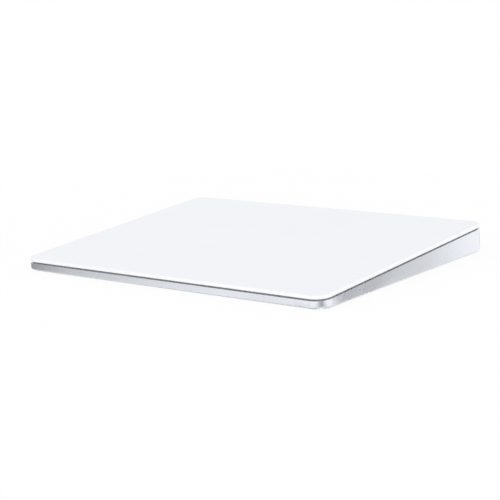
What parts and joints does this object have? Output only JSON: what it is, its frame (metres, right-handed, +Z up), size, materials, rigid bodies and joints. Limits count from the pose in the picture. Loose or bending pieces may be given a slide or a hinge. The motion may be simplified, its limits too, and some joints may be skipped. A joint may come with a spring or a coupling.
{
  "type": "trackpad",
  "caption": "Wedge-shaped aluminium desk trackpad with an edge-to-edge glass touch plate on force-sensing flexures, a rear charging port and a slide switch.",
  "frame": {"origin": "on the desk, under the middle of the footprint", "axes": "+X along the width to the user's right, +Y from the thin front edge to the tall rear, +Z up"},
  "size_m": [0.16, 0.115, 0.012],
  "materials": {
    "aluminium_body": "bead-blasted and clear anodised",
    "white_glass": "white-backed glass with a fine satin face",
    "foot_rubber": "matt silicone rubber",
    "dark_foam": "closed-cell foam",
    "film": "adhesive film",
    "circuit_board": "solder-masked glass fibre",
    "steel": "stamped sheet",
    "core_steel": "laminated",
    "copper": "enamelled copper winding",
    "screw_steel": "blackened",
    "chip": "moulded epoxy",
    "pale_plastic": "moulded connector resin",
    "dark_plastic": "moulded resin",
    "flexible_circuit": "polyimide film",
    "gel": "clear damping gel",
    "cell_foil": "laminated foil pouch",
    "green_mark": "printed film"
  },
  "bodies": {
    "chassis": {"housing": "aluminium_body", "foot_front_left": "foot_rubber", "foot_front_right": "foot_rubber", "foot_rear_left": "foot_rubber", "foot_rear_right": "foot_rubber", "perimeter_gasket": "dark_foam", "battery_tape": "film", "battery_board": "circuit_board", "logic_board": "circuit_board", "haptic_base": "steel", "radio_shield": "steel", "port_shell": "steel", "flexure_front_left": "steel", "flexure_front_right": "steel", "flexure_rear_left": "steel", "flexure_rear_right": "steel", "haptic_core": "core_steel", "haptic_coil_front": "copper", "haptic_coil_rear": "copper", "flexure_screws": "screw_steel", "haptic_screws": "screw_steel", "board_screws": "screw_steel", "processor_chip": "chip", "driver_chip": "chip", "driver_choke": "chip", "sensor_socket": "pale_plastic", "battery_socket": "pale_plastic", "port_tongue": "dark_plastic", "switch_body": "dark_plastic", "antenna_block": "dark_plastic", "battery_flex": "flexible_circuit", "sensor_flex": "flexible_circuit", "haptic_flex": "flexible_circuit", "gauge_flex_left": "flexible_circuit", "gauge_flex_right": "flexible_circuit", "antenna_flex": "flexible_circuit", "gauge_front_left": "flexible_circuit", "gauge_front_right": "flexible_circuit", "gauge_rear_left": "flexible_circuit", "gauge_rear_right": "flexible_circuit", "battery_cell": "cell_foil", "on_mark": "green_mark"},
    "gel_pads": {"gel_front_left": "gel", "gel_front_right": "gel", "gel_rear_left": "gel", "gel_rear_right": "gel"},
    "touch_plate": {"glass_cover": "white_glass", "sensor_film": "film", "sensor_board": "circuit_board", "stiffener_plate": "steel", "touch_chip_left": "chip", "touch_chip_right": "chip", "touch_connector": "pale_plastic", "attraction_bar": "steel"},
    "switch_knob": {"power_switch": "aluminium_body"}
  },
  "joints": [
    {"name": "pad_press", "type": "slide", "parent": "chassis", "child": "gel_pads", "axis": [0, 0.059, -0.9983], "range_m": [0, 0.00025], "stiffness_N_per_m": 12000, "springref_m": -0.0002, "deforming": ["flexure_front_left", "flexure_front_right", "flexure_rear_left", "flexure_rear_right", "sensor_flex"]},
    {"name": "pad_shake", "type": "slide", "parent": "gel_pads", "child": "touch_plate", "axis": [1, 0, 0], "range_m": [-0.00015, 0.00015], "stiffness_N_per_m": 12000},
    {"name": "switch_slide", "type": "slide", "parent": "chassis", "child": "switch_knob", "axis": [1, 0, 0], "range_m": [0, 0.002]}
  ]
}
